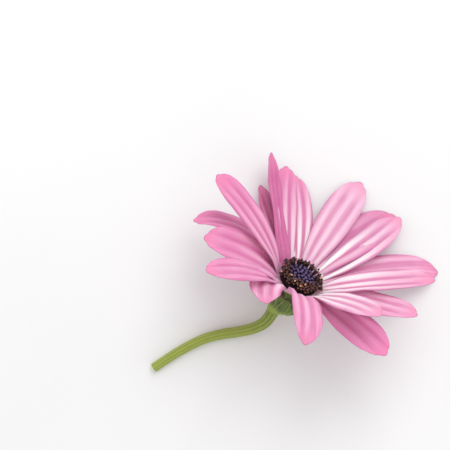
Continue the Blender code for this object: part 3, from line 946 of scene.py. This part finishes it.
class FLOWER_OT_stage(Operator):
    """Make the pale floor, the soft light and the camera"""
    bl_idname = "flower.stage"
    bl_label = "Stage"

    def execute(self, context):
        stage, scene = context.scene.flower_stage, context.scene
        work = bmesh.new()
        bmesh.ops.create_circle(work, cap_ends=True, radius=stage.floor, segments=64)
        mesh = bpy.data.meshes.new("floor")
        work.to_mesh(mesh)
        work.free()
        mesh.materials.append(floor_finish(stage))
        floor = bpy.data.objects.new("floor", mesh)
        floor.location.z = -0.05 * MM
        scene.collection.objects.link(floor)
        world = bpy.data.worlds.new("soft_room")
        world.use_nodes = True
        background = world.node_tree.nodes["Background"]
        background.inputs["Color"].default_value = (1.0, 1.0, 1.0, 1.0)
        background.inputs["Strength"].default_value = stage.dome
        scene.world = world
        add_lamp("key", (0.16, 0.42, 0.52), (0.0, 0.0, 0.0), 0.5, stage.key)
        camera = bpy.data.cameras.new("camera")
        camera.lens = stage.lens
        camera.sensor_width = 36
        camera.clip_start = 0.01
        camera.clip_end = 10
        thing = bpy.data.objects.new("camera", camera)
        thing.location = stage.camera
        scene.collection.objects.link(thing)
        scene.camera = thing
        scene.view_settings.view_transform = "Standard"
        return {"FINISHED"}


class FLOWER_OT_ray_florets(Operator):
    """Make the ray florets and the rim that they stand on"""
    bl_idname = "flower.ray_florets"
    bl_label = "Ray florets"

    def execute(self, context):
        scene = context.scene
        head, rays = Head(scene.flower_head), scene.flower_rays
        material = ray_finish(rays)
        for index, floret in enumerate(RAY_FLORETS):
            ray_floret(index, floret, head, rays, material)
        ray_seat(head, rays, scene.flower_cup, scene.flower_disc)
        return {"FINISHED"}


class FLOWER_OT_disc_florets(Operator):
    """Make the dome, the closed and open disc florets and their pollen"""
    bl_idname = "flower.disc_florets"
    bl_label = "Disc florets"

    def execute(self, context):
        scene = context.scene
        head, disc = Head(scene.flower_head), scene.flower_disc
        florets = disc_places(head, disc)
        draw = random.Random(21)
        turn = np.linspace(0, 2 * math.pi, 64, endpoint=False)
        radii = disc.radius * np.cos(np.radians(np.linspace(0, 84, 12)))
        rings = [head.place(disc.radius * 0.98, turn, 0.0)]
        rings += [head.place(radius, turn, dome_height(radius, disc)) for radius in radii]
        dome, buds, tubes, pollen = Shape(), Shape(), Shape(), Shape()
        dome.add_rings(rings)
        for floret in florets:
            if floret.opened:
                add_open_floret(tubes, floret, disc, draw)
                if draw.random() < 0.4:
                    add_pollen(pollen, floret, draw)
            else:
                add_bud(buds, floret, disc, draw)
        for name, shape, finish in (("disc_dome", dome, dome_finish),
                                    ("disc_buds", buds, bud_finish),
                                    ("disc_open_florets", tubes, open_finish),
                                    ("disc_pollen", pollen, pollen_finish)):
            shape.piece(name, finish(disc), "disc_florets", "disc_florets")
        return {"FINISHED"}


class FLOWER_OT_involucre(Operator):
    """Make the green cup and the bracts that clothe it"""
    bl_idname = "flower.involucre"
    bl_label = "Involucre"

    def execute(self, context):
        scene = context.scene
        head, cup = Head(scene.flower_head), scene.flower_cup
        material = cup_finish(cup)
        involucre_cup(head, cup, material)
        draw, detail = random.Random(3), random.Random(30)
        bracts = Shape()
        for index in range(cup.bracts):
            add_bract(bracts, index, head, cup, draw, detail)
        bracts.piece("involucre_bracts", material, "involucre", "involucre")
        return {"FINISHED"}


class FLOWER_OT_stem(Operator):
    """Make the ribbed stem and its fine hairs"""
    bl_idname = "flower.stem"
    bl_label = "Stem"

    def execute(self, context):
        scene = context.scene
        head, stem = Head(scene.flower_head), scene.flower_stem
        points, radii = stem_line(head, stem)
        stem_stalk(head, stem, points, radii)
        ahead, side, up = stem_frames(points)
        draw = random.Random(11)
        feet, directions, lengths = [], [], []
        while len(feet) < stem.hairs:
            at = draw.randrange(1, len(points) - 1)
            turn = draw.uniform(0, 2 * math.pi)
            out = side[at] * math.cos(turn) + up[at] * math.sin(turn)
            foot = points[at] + out * radii[at] * 0.98 + ahead[at] * draw.uniform(-0.2, 0.2) * MM
            length = stem.hair_length * draw.uniform(0.5, 1.0)
            if foot[2] + out[2] * length > 0.1 * MM:
                feet.append(foot)
                directions.append(unit(out + ahead[at] * draw.uniform(-0.4, 0.5)))
                lengths.append(length)
        hairs = Shape()
        add_hairs(hairs, feet, directions, lengths, stem.hair_radius, draw)
        hairs.piece("stem_hairs", hair_finish(stem), "stem", "stem")
        return {"FINISHED"}


class FLOWER_PT_sidebar(Panel):
    """The flower's settings and the buttons that build it"""
    bl_idname = "FLOWER_PT_sidebar"
    bl_label = "Flower"
    bl_space_type = "VIEW_3D"
    bl_region_type = "UI"
    bl_category = "Flower"

    def draw(self, context):
        for operator, group in STEPS:
            box = self.layout.box()
            box.operator(operator.bl_idname)
            settings = getattr(context.scene, group)
            for name in settings.__annotations__:
                box.prop(settings, name)


GROUPS = {
    "flower_head": HeadSettings,
    "flower_rays": RaySettings,
    "flower_disc": DiscSettings,
    "flower_cup": CupSettings,
    "flower_stem": StemSettings,
    "flower_stage": StageSettings,
}
STEPS = (
    (FLOWER_OT_stage, "flower_stage"),
    (FLOWER_OT_ray_florets, "flower_rays"),
    (FLOWER_OT_disc_florets, "flower_disc"),
    (FLOWER_OT_involucre, "flower_cup"),
    (FLOWER_OT_stem, "flower_stem"),
)
CLASSES = (*GROUPS.values(), *(operator for operator, group in STEPS), FLOWER_PT_sidebar)


def register():
    for kind in CLASSES:
        bpy.utils.register_class(kind)
    for name, kind in GROUPS.items():
        setattr(bpy.types.Scene, name, PointerProperty(type=kind))


def unregister():
    for name in GROUPS:
        delattr(bpy.types.Scene, name)
    for kind in reversed(CLASSES):
        bpy.utils.unregister_class(kind)


def main():
    register()
    bpy.ops.flower.stage()
    bpy.ops.flower.ray_florets()
    bpy.ops.flower.disc_florets()
    bpy.ops.flower.involucre()
    bpy.ops.flower.stem()


if __name__ == "__main__":
    main()
